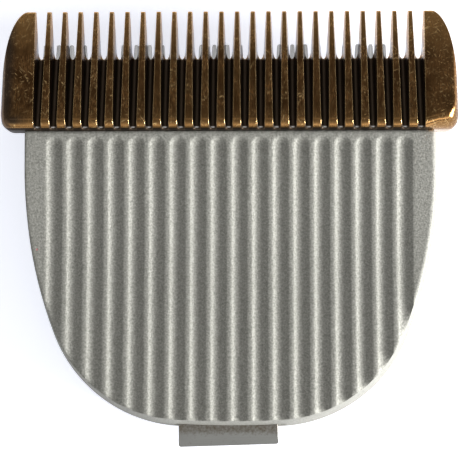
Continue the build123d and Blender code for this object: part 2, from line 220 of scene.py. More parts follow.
class CLIPPER_PG_comb(bpy.types.PropertyGroup):
    """Finish of the coated comb blade."""

    coating: colour("Coating", "Colour of the bronze coating", (0.105, 0.049, 0.0172, 1.0))
    pale_coating: colour(
        "Pale coating",
        "Colour of the coating's paler streaks",
        (0.33, 0.17, 0.063, 1.0),
    )
    # Painted sheen: paler coating towards the tooth tips and over the rear rounding
    sheen_coating: colour(
        "Rubbed coating",
        "Colour of the coating at the tips and the rear",
        (0.57, 0.312, 0.11, 1.0),
    )
    worn_edge: colour(
        "Worn edge",
        "Colour of the coating rubbed thin at edges",
        (0.85, 0.58, 0.27, 1.0),
    )
    edge_break: length("Edge break", "Radius of the fine rounding at the edges", 0.00012)
    roughness: share("Roughness", "Roughness of the coating", 0.24)
    # Painted shade: the dark colour laid in the grooves and on the left ear's outer edge and rear
    # rounding
    painted_shade: colour(
        "Residue",
        "Colour of the dark residue in the grooves",
        (0.078, 0.056, 0.039, 1.0),
    )
    # Painted shade along the comb's rear foot, where it meets the housing
    foot_shade: colour(
        "Foot residue",
        "Colour of the residue along the rear foot",
        (0.036, 0.025, 0.017, 1.0),
    )
    bare_steel: colour(
        "Bare steel",
        "Colour of the ground flanks in the slots",
        (0.34, 0.34, 0.355, 1.0),
    )
    # Painted glint where each groove leaves the rear edge
    exit_glint_colour: colour(
        "Bare exit",
        "Colour of the bright spot where a groove leaves the rear",
        (0.95, 0.93, 0.9, 1.0),
    )
    corner_inset: length("Corner inset", "How far in the right ear's worn corner starts", 0.004)
    corner_radius: length("Corner radius", "Rounding of the right ear's worn corner", 0.0012)
    tooth_pitch: length("Tooth pitch", "Distance from tooth to tooth", 0.0016)
    tooth_count: IntProperty(
        name="Tooth count",
        description="Number of teeth between the ears",
        default=24,
        min=1,
    )
    groove_width: length("Groove width", "Width of a groove at the top", 0.0009)
    slot_length: length("Slot length", "Length of the open slots from the tips", 0.0049)
    tip_thickness: length("Tip thickness", "Thickness of the teeth at the tips", 0.0005)
    top_slope: slant("Top slope", "Slope of the top face", radians(12.0))


class CLIPPER_PG_housing(bpy.types.PropertyGroup):
    """Finish of the moulded housing."""

    silver: colour("Silver", "Colour of the silver plastic", (0.188, 0.187, 0.168, 1.0))
    pale_flake: colour("Pale flake", "Colour of the metallic flakes", (0.4, 0.397, 0.36, 1.0))
    grain: length("Grain", "Size of the moulded grain", 0.0002)
    edge_break: length("Edge break", "Radius of the rounding at the edges", 0.00048)
    speck: colour("Speck", "Colour of the one pinkish speck", (0.45, 0.2, 0.2, 1.0))
    speck_size: length("Speck size", "Radius of the one pinkish speck", 0.00014)
    speck_place: FloatVectorProperty(
        name="Speck place",
        description="Place of the one pinkish speck on the face",
        default=(-0.0193, -0.0021, 0.0072),
        size=3,
        precision=5,
        subtype="TRANSLATION",
        unit="LENGTH",
    )
    roughness: share("Roughness", "Roughness of the plastic", 0.6)


class CLIPPER_PG_inside(bpy.types.PropertyGroup):
    """Finishes of the cutter, its carrier, the spring and the hook."""

    cutter: colour("Cutter", "Colour of the ground cutter steel", (0.95, 0.95, 0.96, 1.0))
    carrier: colour("Carrier", "Colour of the black carrier", (0.02, 0.02, 0.022, 1.0))
    spring: colour("Spring", "Colour of the spring steel", (0.5, 0.5, 0.51, 1.0))
    hook: colour("Hook", "Colour of the hook's dull steel", (0.42, 0.42, 0.4, 1.0))
    # Painted shade at the hook's root, under the housing's rear wall
    hook_root_shade: colour(
        "Hook stain",
        "Colour of the brown stain at the hook's root",
        (0.19, 0.16, 0.12, 1.0),
    )


class CLIPPER_PG_screws(bpy.types.PropertyGroup):
    """Sizes and finish of the screws."""

    head_diameter: length("Head diameter", "Diameter of the head", 0.0036)
    head_height: length("Head height", "Height of the head", 0.0011)
    dome_radius: length("Dome radius", "Radius of the head's domed top", 0.0038)
    recess_length: length("Recess length", "Length of the cross recess", 0.002)
    recess_width: length("Recess width", "Width of the cross recess", 0.0005)
    recess_depth: length("Recess depth", "Depth of the cross recess", 0.0006)
    shank_diameter: length("Shank diameter", "Diameter of the shank", 0.00196)
    shank_length: length("Shank length", "Length of the shanks in the bosses", 0.0031)
    spring_step: length(
        "Spring step",
        "How much deeper the spring's screws sit than the hook's",
        0.0008,
    )
    turn_seed: IntProperty(
        name="Turn seed",
        description="Seed of how far each head is turned",
        default=5,
    )
    steel: colour("Steel", "Colour of the plated steel", (0.55, 0.55, 0.56, 1.0))


class CLIPPER_PG_studio(bpy.types.PropertyGroup):
    """Floor, light and camera."""

    floor: colour("Floor", "Colour of the floor", (0.9, 0.905, 0.93, 1.0))
    floor_glow: colour(
        "Floor glow",
        "Plain light of the floor that takes no shade",
        (0.52, 0.54, 0.605, 1.0),
    )
    sky: share("Sky", "Level of the light from all round", 0.38)
    front_sky: share("Front sky", "Level of the dark sky above the tooth tips", 0.08)
    rear_sky: share("Rear sky", "Share of the sky's level that is left low behind", 0.25)
    top_sky: share("Top sky", "Share of the sky's level that is left straight above", 0.42)
    left_sky: strength("Left sky", "Share of the sky's level at the left", 3.4)
    right_sky: strength("Right sky", "Share of the sky's level at the right", 2.5)
    panel_level: strength("Panel level", "Level of the small panel overhead", 0.45)
    window_level: strength("Window level", "Level of the window at the right", 2.8)
    window_start: slant("Window start", "Bearing of the window's front end", -0.12)
    window_end: slant("Window end", "Bearing of the window's rear end", -1.35)
    key_power: FloatProperty(
        name="Key power",
        description="Power of the key light",
        default=11.2,
        min=0.0,
        unit="POWER",
    )
    key_size: length("Key size", "Side of the square key light", 0.3)
    key_place: FloatVectorProperty(
        name="Key place",
        description="Place of the key light",
        default=(0.57, -0.12, 0.12),
        size=3,
        subtype="TRANSLATION",
        unit="LENGTH",
    )
    camera_place: FloatVectorProperty(
        name="Camera place",
        description="Place of the camera",
        default=(0.003, -0.008, 0.148),
        size=3,
        precision=5,
        subtype="TRANSLATION",
        unit="LENGTH",
    )
    camera_turn: FloatVectorProperty(
        name="Camera turn",
        description="Tilt and pan of the camera from straight down",
        default=(radians(3.23), radians(1.222), 0.0),
        size=3,
        subtype="EULER",
        unit="ROTATION",
    )
    lens: FloatProperty(
        name="Lens",
        description="Focal length in millimetres",
        default=110.4,
        min=1.0,
        unit="CAMERA",
    )


def fill(tree, socket, value):
    """Links a socket to the value, or sets it."""
    if isinstance(value, bpy.types.NodeSocket):
        tree.links.new(value, socket)
    else:
        socket.default_value = value


def put(tree, kind, inputs=None, **options):
    """A node of that kind with its options and inputs set."""
    node = tree.nodes.new(kind)
    for name, value in options.items():
        setattr(node, name, value)
    for name, value in (inputs or {}).items():
        fill(tree, node.inputs[name], value)
    return node


def new_group(name, kind, inputs, outputs):
    """A node group with named inputs, outputs and its two end nodes."""
    group = bpy.data.node_groups.new(name, kind)
    for label, socket_type, default in inputs:
        socket = group.interface.new_socket(label, in_out="INPUT", socket_type=socket_type)
        if default is not None:
            socket.default_value = default
    for label, socket_type in outputs:
        group.interface.new_socket(label, in_out="OUTPUT", socket_type=socket_type)
    return group, put(group, "NodeGroupInput"), put(group, "NodeGroupOutput")


def shader_group(name, build, inputs, outputs):
    """A shader node group, built once and kept by its name."""
    if name in bpy.data.node_groups:
        return bpy.data.node_groups[name]
    group, start, end = new_group(name, "ShaderNodeTree", inputs, outputs)
    build(group, start, end)
    return group


def place_group(tree, group, **inputs):
    """A shader node group placed in a material with its own values."""
    return put(tree, "ShaderNodeGroup", inputs, node_tree=group)


def maths(tree, operation, first, second=0.0):
    """One sum of two values."""
    return put(tree, "ShaderNodeMath", {0: first, 1: second}, operation=operation).outputs[0]


def times(tree, first, second):
    """Two values multiplied."""
    return maths(tree, "MULTIPLY", first, second)


def larger(tree, first, second):
    """The larger of two values."""
    return maths(tree, "MAXIMUM", first, second)


def distance(tree, first, second):
    """The length of a way that goes so far along one axis and so far along another."""
    squares = [maths(tree, "POWER", way, 2.0) for way in (first, second)]
    return maths(tree, "SQRT", maths(tree, "ADD", *squares))


def spread(tree, value, low, high, to_low=0.0, to_high=1.0):
    """A value moved from one range to another and held there."""
    inputs = {
        "Value": value,
        "From Min": low,
        "From Max": high,
        "To Min": to_low,
        "To Max": to_high,
    }
    return put(tree, "ShaderNodeMapRange", inputs).outputs["Result"]


def ramp(tree, value, start, reach, to_high=1.0):
    """A value that rises from nought between two places beside a start."""
    return spread(tree, value, start + reach[0], start + reach[1], 0.0, to_high)


def mix_colours(tree, factor, first, second):
    """Two colours mixed by a factor."""
    inputs = {"Factor": factor, 6: first, 7: second}
    return put(tree, "ShaderNodeMix", inputs, data_type="RGBA").outputs[2]


def scaled_noise(tree, vector, scale, detail, roughness=0.5):
    """Noise from nought to one on that vector."""
    inputs = {"Vector": vector, "Scale": scale, "Detail": detail, "Roughness": roughness}
    return put(tree, "ShaderNodeTexNoise", inputs).outputs["Fac"]


def object_place(tree):
    """The place on the piece."""
    return put(tree, "ShaderNodeTexCoord").outputs["Object"]


def parts_of(tree, vector):
    """The X, Y and Z of a vector."""
    return put(tree, "ShaderNodeSeparateXYZ", {"Vector": vector}).outputs


def stretch(tree, vector, scale):
    """A vector stretched along each axis."""
    inputs = {0: vector, 1: scale}
    return put(tree, "ShaderNodeVectorMath", inputs, operation="MULTIPLY").outputs["Vector"]


def edge_wear_group():
    """Finely rounded edges: their normal, and a mask that is one on the edge."""

    def build(tree, start, end):
        bevel = put(tree, "ShaderNodeBevel", {"Radius": start.outputs["Radius"]}, samples=6)
        surface = put(tree, "ShaderNodeNewGeometry")
        normals = {0: bevel.outputs["Normal"], 1: surface.outputs["Normal"]}
        dot = put(tree, "ShaderNodeVectorMath", normals, operation="DOT_PRODUCT")
        fill(tree, end.inputs["Wear"], spread(tree, dot.outputs["Value"], *WEAR_RANGE))
        fill(tree, end.inputs["Normal"], bevel.outputs["Normal"])

    inputs = [("Radius", "NodeSocketFloat", 0.0001)]
    outputs = [("Wear", "NodeSocketFloat"), ("Normal", "NodeSocketVector")]
    return shader_group("edge_wear", build, inputs, outputs)


def brushing_group():
    """Streaks that run along Y."""

    def build(tree, start, end):
        across = start.outputs["Across"]
        along = start.outputs["Along"]
        scale = put(tree, "ShaderNodeCombineXYZ", {"X": across, "Y": along, "Z": across})
        stretched = stretch(tree, object_place(tree), scale.outputs["Vector"])
        streaks = scaled_noise(tree, stretched, scale=1.0, detail=3.0)
        fill(tree, end.inputs["Streaks"], streaks)

    inputs = [("Across", "NodeSocketFloat", 6000.0), ("Along", "NodeSocketFloat", 300.0)]
    return shader_group("brushing", build, inputs, [("Streaks", "NodeSocketFloat")])


def grain_group():
    """Fine moulded or blasted grain, and the sparse flecks among it."""

    def build(tree, start, end):
        place = object_place(tree)
        scale = maths(tree, "DIVIDE", 1.0, start.outputs["Size"])
        grain = scaled_noise(tree, place, scale, detail=2.0, roughness=0.6)
        coarse = scaled_noise(tree, place, times(tree, scale, FLECK_SCALE), detail=1.0)
        flecks = spread(tree, coarse, start.outputs["Threshold"], FLECK_FULL)
        fill(tree, end.inputs["Grain"], spread(tree, grain, *GRAIN_RANGE))
        fill(tree, end.inputs["Flecks"], flecks)

    inputs = [("Size", "NodeSocketFloat", 0.0002), ("Threshold", "NodeSocketFloat", 0.66)]
    outputs = [("Grain", "NodeSocketFloat"), ("Flecks", "NodeSocketFloat")]
    return shader_group("grain", build, inputs, outputs)


def scratches_group():
    """Short fine scratches that run three ways."""

    def build(tree, start, end):
        place = object_place(tree)
        found = 0.0
        for angle in SCRATCH_ANGLES:
            inputs = {"Vector": place, "Angle": angle}
            turned = put(tree, "ShaderNodeVectorRotate", inputs, rotation_type="Z_AXIS")
            stretched = stretch(tree, turned.outputs["Vector"], SCRATCH_STRETCH)
            noise = scaled_noise(tree, stretched, scale=1.0, detail=1.0)
            line = spread(tree, noise, start.outputs["Threshold"], SCRATCH_FULL)
            found = larger(tree, found, line)
        fill(tree, end.inputs["Scratches"], found)

    inputs = [("Threshold", "NodeSocketFloat", 0.67)]
    return shader_group("scratches", build, inputs, [("Scratches", "NodeSocketFloat")])


def mottle_group():
    """Soft uneven patches of a few millimetres."""

    def build(tree, start, end):
        scale = maths(tree, "DIVIDE", 1.0, start.outputs["Size"])
        noise = scaled_noise(tree, object_place(tree), scale, detail=3.0)
        fill(tree, end.inputs["Mottle"], spread(tree, noise, *MOTTLE_RANGE))

    inputs = [("Size", "NodeSocketFloat", 0.003)]
    return shader_group("mottle", build, inputs, [("Mottle", "NodeSocketFloat")])


def new_material(name, **inputs):
    """A material with one Principled shader, its node tree and that shader."""
    material = bpy.data.materials.new(name)
    material.use_nodes = True
    tree = material.node_tree
    tree.nodes.clear()
    sockets = {key.replace("_", " "): value for key, value in inputs.items()}
    shader = put(tree, "ShaderNodeBsdfPrincipled", sockets)
    put(tree, "ShaderNodeOutputMaterial", {"Surface": shader.outputs["BSDF"]})
    return material, tree, shader


def bump(tree, height, normal, depth=1.0, weight=1.0):
    """A normal with that height laid over it."""
    inputs = {"Height": height, "Distance": depth, "Strength": weight, "Normal": normal}
    return put(tree, "ShaderNodeBump", inputs).outputs["Normal"]


def comb_masks(tree, settings):
    """Masks of the comb: grooves, foot and left ear for painted shade, flanks, ends for painted
    sheen, exits for painted glints, and the right ear.
    """
    low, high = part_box("fixed_blade")
    parts = parts_of(tree, object_place(tree))
    across = maths(tree, "PINGPONG", parts["X"], settings.tooth_pitch / 2)
    half = settings.groove_width / 2
    row = settings.tooth_pitch * settings.tooth_count / 2 + half
    slot = settings.slot_length
    between = spread(tree, maths(tree, "ABSOLUTE", parts["X"]), row, row - ROW_EDGE)
    within = times(tree, between, spread(tree, across, half, half * GROOVE_CORE))
    behind = maths(tree, "SUBTRACT", high[1], parts["Y"])
    blind = spread(tree, behind, slot * GROOVE_START[0], slot * GROOVE_START[1])
    open_slot = spread(tree, behind, slot * FLANK_END[0], slot * FLANK_END[1])
    top = maths(tree, "MULTIPLY_ADD", behind, tan(settings.top_slope))
    fill(tree, top.node.inputs[2], low[2] + settings.tip_thickness)
    deep = spread(tree, maths(tree, "SUBTRACT", top, parts["Z"]), *GROOVE_DEPTHS)
    sunk = times(tree, within, deep)
    # Where shade is painted along the rear foot
    steep = ramp(tree, parts["Y"], low[1], FOOT_EDGE)
    # Painted sheen, paler towards the tooth tips and over the rear rounding
    tip = spread(tree, behind, slot, 0.0, 0.0, TIP_SHEEN)
    tail = ramp(tree, parts["Y"], low[1], TAIL_REACH, TAIL_SHEEN)
    # Where shade is painted on the left ear's outer edge and rear rounding
    outer = ramp(tree, parts["X"], low[0], LEFT_SHADE_REACH)
    left_ear = ramp(tree, parts["X"], -row, EAR_REACH)
    upper = ramp(tree, parts["Y"], low[1], ROUNDING_FOOT)
    lower = ramp(tree, parts["Y"], low[1], ROUNDING_HEAD)
    rounding = times(tree, left_ear, times(tree, upper, lower))
    # Where a painted glint sits, where each groove leaves the rear edge
    middle = times(tree, between, spread(tree, across, *EXIT_BREADTH))
    front_edge = ramp(tree, parts["Y"], low[1], EXIT_FRONT)
    rear_edge = ramp(tree, parts["Y"], low[1], EXIT_REAR)
    return {
        "groove": times(tree, sunk, blind),
        "foot": times(tree, steep, spread(tree, parts["X"], row + FOOT_RUNOUT, row)),
        "flank": times(tree, sunk, open_slot),
        "left_shade": larger(tree, outer, rounding),
        "end_sheen": larger(tree, tip, tail),
        "exit_glints": times(tree, middle, times(tree, front_edge, rear_edge)),
        # The right ear: paler by painted sheen, with its scratches and flecks shown more
        "right_sheen_and_wear": spread(tree, parts["X"], row, row + RIGHT_EAR_REACH, 0.0, RIGHT_SHEEN_AND_WEAR),
    }


def corner_height(tree, settings):
    """Height of the right ear's worn rear corner, which falls off past an arc."""
    low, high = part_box("fixed_blade")
    parts = parts_of(tree, object_place(tree))
    inset = settings.corner_inset
    side = maths(tree, "SUBTRACT", parts["X"], high[0] - inset * CORNER_SIDE)
    rear = maths(tree, "SUBTRACT", low[1] + inset, parts["Y"])
    away = distance(tree, larger(tree, side, 0.0), larger(tree, rear, 0.0))
    past = larger(tree, maths(tree, "SUBTRACT", away, inset * CORNER_ARC), 0.0)
    # A rounding falls by half the square of the way past its start, over its radius
    drop = times(tree, maths(tree, "POWER", past, 2.0), -0.5 / settings.corner_radius)
    fade = [high[0] - inset * reach for reach in CORNER_FADE]
    return times(tree, drop, spread(tree, parts["X"], *fade))


def bronze_material(settings):
    """Bronze-gold coating, brushed along the teeth, with scratches, flecks and rubbed edges,
    painted shade, painted sheen and painted glints.
    """
    material, tree, shader = new_material("bronze_coating", Metallic=1.0)
    wear = place_group(tree, edge_wear_group(), Radius=settings.edge_break)
    streaks = place_group(tree, brushing_group(), Across=9000.0, Along=420.0).outputs["Streaks"]
    grain = place_group(tree, grain_group(), Size=0.00016, Threshold=0.62)
    mottle = place_group(tree, mottle_group(), Size=0.0016).outputs["Mottle"]
    clouds = place_group(tree, mottle_group(), Size=0.0041).outputs["Mottle"]
    scratches = place_group(tree, scratches_group()).outputs["Scratches"]
    masks = comb_masks(tree, settings)
    patch = times(tree, spread(tree, streaks, *STREAK_RANGE), mottle)
    coat = mix_colours(tree, patch, settings.coating, settings.pale_coating)
    # Painted sheen: the right ear's coating is made paler
    right_sheen_and_wear = times(tree, masks["right_sheen_and_wear"], RIGHT_SHEEN_TONE)
    coat = mix_colours(tree, right_sheen_and_wear, coat, settings.pale_coating)
    # Painted sheen towards the tooth tips and over the rear rounding
    coat = mix_colours(tree, masks["end_sheen"], coat, settings.sheen_coating)
    patchy = spread(tree, clouds, *PATCHY_RANGE, PATCHY_LEAST, 1.0)
    patchy = larger(tree, patchy, masks["right_sheen_and_wear"])
    marks = times(tree, larger(tree, scratches, grain.outputs["Flecks"]), patchy)
    rubbed = larger(tree, times(tree, wear.outputs["Wear"], EDGE_RUB), marks)
    base = mix_colours(tree, rubbed, coat, settings.worn_edge)
    base = mix_colours(tree, masks["flank"], base, settings.bare_steel)
    # Painted shade on the left ear's outer edge and rear rounding
    left_shade = times(tree, masks["left_shade"], LEFT_SHADE_SHARE)
    base = mix_colours(tree, left_shade, base, settings.painted_shade)
    # Painted shade along the rear foot, where the comb meets the housing
    base = mix_colours(tree, masks["foot"], base, settings.foot_shade)
    # Painted shade in the grooves, below the top face
    base = mix_colours(tree, masks["groove"], base, settings.painted_shade)
    # Painted glints where the grooves leave the rear edge
    base = mix_colours(tree, masks["exit_glints"], base, settings.exit_glint_colour)
    fill(tree, shader.inputs["Base Color"], base)
    gloss = [settings.roughness + step for step in COMB_GLOSS]
    dull = times(tree, larger(tree, masks["groove"], masks["foot"]), SHADE_ROUGHNESS)
    shade = larger(tree, spread(tree, patch, 0.0, 1.0, *gloss), dull)
    fill(tree, shader.inputs["Roughness"], shade)
    height = maths(tree, "ADD", times(tree, streaks, COMB_STREAK_HEIGHT), marks)
    corner = bump(tree, corner_height(tree, settings), wear.outputs["Normal"])
    fill(tree, shader.inputs["Normal"], bump(tree, height, corner, *COMB_RELIEF))
    return material


def silver_material(settings):
    """Satin silver plastic with a metallic flake and a fine moulded grain."""
    material, tree, shader = new_material("silver_plastic", Metallic=0.36, Specular_IOR_Level=0.0)
    wear = place_group(tree, edge_wear_group(), Radius=settings.edge_break)
    group = place_group(tree, grain_group(), Size=settings.grain, Threshold=0.6)
    grain = group.outputs["Grain"]
    flake = mix_colours(tree, grain, settings.silver, settings.pale_flake)
    parts = parts_of(tree, object_place(tree))
    aside = maths(tree, "SUBTRACT", parts["X"], settings.speck_place[0])
    along = maths(tree, "SUBTRACT", parts["Y"], settings.speck_place[1])
    size = settings.speck_size
    near = spread(tree, distance(tree, aside, along), size, size * SPECK_CORE)
    above = ramp(tree, parts["Z"], settings.speck_place[2], SPECK_DEPTHS)
    base = mix_colours(tree, times(tree, near, above), flake, settings.speck)
    fill(tree, shader.inputs["Base Color"], base)
    gloss = [settings.roughness + step for step in SILVER_GLOSS]
    fill(tree, shader.inputs["Roughness"], spread(tree, grain, 0.0, 1.0, *gloss))
    normal = bump(tree, grain, wear.outputs["Normal"], *SILVER_RELIEF)
    fill(tree, shader.inputs["Normal"], normal)
    return material


def steel_material(name, tint, roughness, across=7000.0, along=350.0, streak=0.2, root_shade=None):
    """Ground or rolled steel, streaked along its length, with paler edges and perhaps painted
    shade at its root.
    """
    material, tree, shader = new_material(name, Metallic=1.0)
    wear = place_group(tree, edge_wear_group(), Radius=0.00008)
    streaks = place_group(tree, brushing_group(), Across=across, Along=along).outputs["Streaks"]
    grain = place_group(tree, grain_group(), Size=0.00025, Threshold=0.7).outputs["Grain"]
    dull = [part * (1.0 - streak) for part in tint[:3]] + [1.0]
    pale = [min(part * STEEL_PALE, 1.0) for part in tint[:3]] + [1.0]
    streaked = mix_colours(tree, spread(tree, streaks, *STREAK_RANGE), dull, list(tint))
    base = mix_colours(tree, wear.outputs["Wear"], streaked, pale)
    # Painted shade on the hook, darkest at its root under the housing's rear wall
    if root_shade:
        tone, shade_start, shade_full = root_shade
        along_hook = parts_of(tree, object_place(tree))["Y"]
        depth = maths(tree, "ADD", spread(tree, along_hook, shade_start, shade_full), grain)
        base = mix_colours(tree, spread(tree, depth, *ROOT_SHADE_RANGE), base, tone)
    fill(tree, shader.inputs["Base Color"], base)
    gloss = [roughness + step for step in STEEL_GLOSS]
    fill(tree, shader.inputs["Roughness"], spread(tree, streaks, *STREAK_RANGE, *gloss))
    height = maths(tree, "ADD", streaks, times(tree, grain, STEEL_GRAIN_HEIGHT))
    normal = bump(tree, height, wear.outputs["Normal"], *STEEL_RELIEF)
    fill(tree, shader.inputs["Normal"], normal)
    return material


def carrier_material(settings):
    """Black moulded plastic with a fine grain and rubbed edges."""
    material, tree, shader = new_material("black_plastic", Metallic=0.0)
    wear = place_group(tree, edge_wear_group(), Radius=0.00012)
    group = place_group(tree, grain_group(), Size=0.00018, Threshold=0.66)
    grain = group.outputs["Grain"]
    pale = [part * CARRIER_PALE for part in settings.carrier[:3]] + [1.0]
    edges = times(tree, wear.outputs["Wear"], CARRIER_RUB)
    rubbed = larger(tree, edges, group.outputs["Flecks"])
    base = mix_colours(tree, rubbed, list(settings.carrier), pale)
    fill(tree, shader.inputs["Base Color"], base)
    fill(tree, shader.inputs["Roughness"], spread(tree, grain, 0.0, 1.0, *CARRIER_GLOSS))
    normal = bump(tree, grain, wear.outputs["Normal"], *CARRIER_RELIEF)
    fill(tree, shader.inputs["Normal"], normal)
    return material


def dress(node, material):
    """Puts a material on a CAD node."""
    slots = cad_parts[node].data.materials
    slots.clear()
    slots.append(material)


def screw_tree(settings):
    """The tree that sets a domed cross-head screw on every point, head down."""
    sizes = ["head_diameter", "head_height", "dome_radius", "recess_length"]
    sizes += ["recess_width", "recess_depth", "shank_diameter", "shank_length"]
    labels = {name: name.replace("_", " ").capitalize() for name in sizes}
    inputs = [("Geometry", "NodeSocketGeometry", None)]
    inputs += [(labels[name], "NodeSocketFloat", getattr(settings, name)) for name in sizes]
    inputs.append(("Turn seed", "NodeSocketInt", settings.turn_seed))
    inputs.append(("Material", "NodeSocketMaterial", None))
    outputs = [("Geometry", "NodeSocketGeometry")]
    tree, start, end = new_group("screws_on_points", "GeometryNodeTree", inputs, outputs)
    size = {name: start.outputs[labels[name]] for name in sizes}

    def half(value):
        return times(tree, value, 0.5)

    def moved(mesh, height):
        shift = put(tree, "ShaderNodeCombineXYZ", {"Z": height}).outputs["Vector"]
        inputs = {"Geometry": mesh, "Translation": shift}
        return put(tree, "GeometryNodeTransform", inputs).outputs["Geometry"]

    def rod(diameter, depth, middle):
        inputs = {"Vertices": 40, "Radius": half(diameter), "Depth": depth}
        return moved(put(tree, "GeometryNodeMeshCylinder", inputs).outputs["Mesh"], middle)

    def joined(operation, first, second):
        name = "Mesh 1" if operation == "DIFFERENCE" else "Mesh 2"
        options = {"operation": operation, "solver": "EXACT"}
        node = put(tree, "GeometryNodeMeshBoolean", {name: first}, **options)
        tree.links.new(second, node.inputs["Mesh 2"])
        return node.outputs["Mesh"]

    down = times(tree, size["head_height"], -1.0)
    disc = rod(size["head_diameter"], size["head_height"], half(down))
    ball_inputs = {"Segments": 48, "Rings": 64, "Radius": size["dome_radius"]}
    ball = put(tree, "GeometryNodeMeshUVSphere", ball_inputs).outputs["Mesh"]
    dome = joined("INTERSECT", disc, moved(ball, maths(tree, "ADD", down, size["dome_radius"])))
    double_depth = times(tree, size["recess_depth"], 2.0)
    head = dome
    for across, along in (("recess_length", "recess_width"), ("recess_width", "recess_length")):
        bar_sides = {"X": size[across], "Y": size[along], "Z": double_depth}
        bar_size = put(tree, "ShaderNodeCombineXYZ", bar_sides).outputs["Vector"]
        bar = put(tree, "GeometryNodeMeshCube", {"Size": bar_size}).outputs["Mesh"]
        head = joined("DIFFERENCE", head, moved(bar, down))
    shank = rod(size["shank_diameter"], size["shank_length"], half(size["shank_length"]))
    screw = joined("UNION", head, shank)
    turn_inputs = {"Min": 0.0, "Max": SCREW_TURN, "Seed": start.outputs["Turn seed"]}
    turn = put(tree, "FunctionNodeRandomValue", turn_inputs, data_type="FLOAT")
    rotation = put(tree, "ShaderNodeCombineXYZ", {"Z": turn.outputs[1]}).outputs["Vector"]
    spot_inputs = {"Points": start.outputs["Geometry"], "Instance": screw, "Rotation": rotation}
    spots = put(tree, "GeometryNodeInstanceOnPoints", spot_inputs).outputs["Instances"]
    real = put(tree, "GeometryNodeRealizeInstances", {"Geometry": spots}).outputs["Geometry"]
    paint_inputs = {"Geometry": real, "Material": start.outputs["Material"]}
    painted = put(tree, "GeometryNodeSetMaterial", paint_inputs)
    fill(tree, end.inputs["Geometry"], painted.outputs["Geometry"])
    return tree


def set_inputs(modifier, **values):
    """Sets a node modifier's inputs by their labels."""
    for item in modifier.node_group.interface.items_tree:
        if item.in_out == "INPUT" and item.name in values:
            modifier[item.identifier] = values[item.name]


def plain_mesh(piece):
    """Turns a piece's node modifier into a plain mesh."""
    graph = bpy.context.evaluated_depsgraph_get()
    mesh = bpy.data.meshes.new_from_object(piece.evaluated_get(graph))
    piece.modifiers.clear()
    piece.data = mesh
    mesh.name = piece.name
    mesh.shade_smooth()
    mesh.set_sharp_from_angle(angle=SHARP_ANGLE)


def screw_set(name, node, points, shank, tree, material):
    """Screws with that shank on those points, which stand for a CAD node."""
    spots = bpy.data.meshes.new(name)
    spots.from_pydata(points, [], [])
    piece = bpy.data.objects.new(name, spots)
    bpy.context.scene.collection.objects.link(piece)
    modifier = piece.modifiers.new("screws", "NODES")
    modifier.node_group = tree
    set_inputs(modifier, **{"Shank length": shank, "Material": material})
    plain_mesh(piece)
    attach(piece, "housing")
    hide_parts(node)


class CLIPPER_OT_dress_housing(bpy.types.Operator):
    """Give the moulded housing its satin silver plastic"""

    bl_idname = "clipper.dress_housing"
    bl_label = "Housing"

    def execute(self, context):
        dress("housing", silver_material(context.scene.clipper_housing))
        return {"FINISHED"}


class CLIPPER_OT_dress_comb(bpy.types.Operator):
    """Give the comb blade its bronze coating"""

    bl_idname = "clipper.dress_comb"
    bl_label = "Comb blade"

    def execute(self, context):
        dress("fixed_blade", bronze_material(context.scene.clipper_comb))
        return {"FINISHED"}


class CLIPPER_OT_dress_cutter(bpy.types.Operator):
    """Give the cutter its ground steel and its carrier its black plastic"""

    bl_idname = "clipper.dress_cutter"
    bl_label = "Cutter and carrier"

    def execute(self, context):
        settings = context.scene.clipper_inside
        dress("moving_blade", steel_material("cutter_steel", settings.cutter, roughness=0.25))
        dress("drive_yoke", carrier_material(settings))
        return {"FINISHED"}


class CLIPPER_OT_dress_springs(bpy.types.Operator):
    """Give the pressure spring and the mounting hook their steel"""

    bl_idname = "clipper.dress_springs"
    bl_label = "Spring and hook"

    def execute(self, context):
        settings = context.scene.clipper_inside
        spring = steel_material(
            "spring_steel",
            settings.spring,
            roughness=0.3,
            across=350.0,
            along=7000.0,
        )
        dress("pressure_spring", spring)
        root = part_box("housing")[0][1]
        hook = steel_material(
            "hook_steel",
            settings.hook,
            roughness=0.45,
            across=300.0,
            along=5000.0,
            streak=0.06,
            # Painted shade at the hook's root
            root_shade=(settings.hook_root_shade, root - ROOT_SHADE_DEPTH, root),
        )
        dress("mounting_hook", hook)
        return {"FINISHED"}


class CLIPPER_OT_make_screws(bpy.types.Operator):
    """Set the domed cross-head screws on the comb and the bosses"""

    bl_idname = "clipper.make_screws"
    bl_label = "Screws"

    def execute(self, context):
        settings = context.scene.clipper_screws
        radius = settings.head_diameter / 2
        height = settings.head_height
        tree = screw_tree(settings)
        material = steel_material("screw_steel", settings.steel, roughness=0.28)
        low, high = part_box("blade_screws")
        row = (low[1] + high[1]) / 2
        seat = low[2] + height
        comb_points = [(low[0] + radius, row, seat), (high[0] - radius, row, seat)]
        screw_set("comb_screw_set", "blade_screws", comb_points, high[2] - seat, tree, material)
        low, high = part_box("boss_screws")
        hook_seat = low[2] + height
        spring_seat = hook_seat + settings.spring_step
        boss_points = [(low[0] + radius, high[1] - radius, spring_seat)]
        boss_points.append((high[0] - radius, high[1] - radius, spring_seat))
        boss_points.append(((low[0] + high[0]) / 2, low[1] + radius, hook_seat))
        shank = settings.shank_length
        screw_set("boss_screw_set", "boss_screws", boss_points, shank, tree, material)
        return {"FINISHED"}


